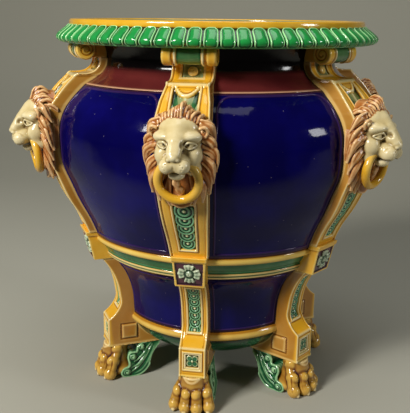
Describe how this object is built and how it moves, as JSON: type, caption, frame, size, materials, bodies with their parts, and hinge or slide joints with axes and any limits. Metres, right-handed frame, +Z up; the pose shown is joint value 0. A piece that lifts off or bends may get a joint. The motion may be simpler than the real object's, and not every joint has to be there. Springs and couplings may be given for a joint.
{
  "type": "cachepot",
  "caption": "Round glazed cachepot with a gadrooned rim, ribs with lion masks and rings, and paw feet.",
  "frame": {"origin": "on the vessel's axis at floor level, the plane that the paws stand on", "axes": "+Z up along the vessel's axis, -Y towards the front rib; the ribs are 60 degrees apart"},
  "size_m": [0.3988, 0.4536, 0.4],
  "materials": {
    "lip_glaze": "gloss",
    "gadroon_glaze": "gloss",
    "neck_glaze": "gloss",
    "blue_glaze": "gloss",
    "yellow_glaze": "gloss",
    "green_glaze": "gloss",
    "cream_glaze": "gloss",
    "relief_glaze": "gloss",
    "maroon_glaze": "gloss",
    "petal_glaze": "gloss",
    "mask_glaze": "gloss",
    "paw_glaze": "gloss",
    "leaf_glaze": "gloss"
  },
  "bodies": {
    "root": {"base_dish": "green_glaze", "console_scroll_1": "yellow_glaze", "console_scroll_2": "yellow_glaze", "console_scroll_3": "yellow_glaze", "console_scroll_4": "yellow_glaze", "console_scroll_5": "yellow_glaze", "console_scroll_6": "yellow_glaze", "foot_band": "yellow_glaze", "leaf_1": "leaf_glaze", "leaf_2": "leaf_glaze", "leaf_3": "leaf_glaze", "leaf_4": "leaf_glaze", "leaf_5": "leaf_glaze", "leaf_6": "leaf_glaze", "lion_mask_1": "mask_glaze", "lion_mask_2": "mask_glaze", "lion_mask_3": "mask_glaze", "lion_mask_4": "mask_glaze", "lion_mask_5": "mask_glaze", "lion_mask_6": "mask_glaze", "lower_bowl": "blue_glaze", "lower_reliefs": "relief_glaze", "neck": "neck_glaze", "neck_buttons": "lip_glaze", "neck_panels": "relief_glaze", "paw_1": "paw_glaze", "paw_2": "paw_glaze", "paw_3": "paw_glaze", "paw_4": "paw_glaze", "paw_5": "paw_glaze", "paw_6": "paw_glaze", "plinth_tiles": "relief_glaze", "quatrefoils": "petal_glaze", "rib_lower_1": "yellow_glaze", "rib_lower_2": "yellow_glaze", "rib_lower_3": "yellow_glaze", "rib_lower_4": "yellow_glaze", "rib_lower_5": "yellow_glaze", "rib_lower_6": "yellow_glaze", "rib_upper_1": "yellow_glaze", "rib_upper_2": "yellow_glaze", "rib_upper_3": "yellow_glaze", "rib_upper_4": "yellow_glaze", "rib_upper_5": "yellow_glaze", "rib_upper_6": "yellow_glaze", "rim_gadroons": "gadroon_glaze", "rim_lip": "lip_glaze", "ring_1": "lip_glaze", "ring_2": "lip_glaze", "ring_3": "lip_glaze", "ring_4": "lip_glaze", "ring_5": "lip_glaze", "ring_6": "lip_glaze", "spandrel_panels": "relief_glaze", "upper_bowl": "blue_glaze", "upper_reliefs": "relief_glaze", "waist_band": "green_glaze", "waist_blocks": "maroon_glaze", "waist_fillet": "cream_glaze", "waist_moulding": "yellow_glaze"}
  },
  "joints": []
}
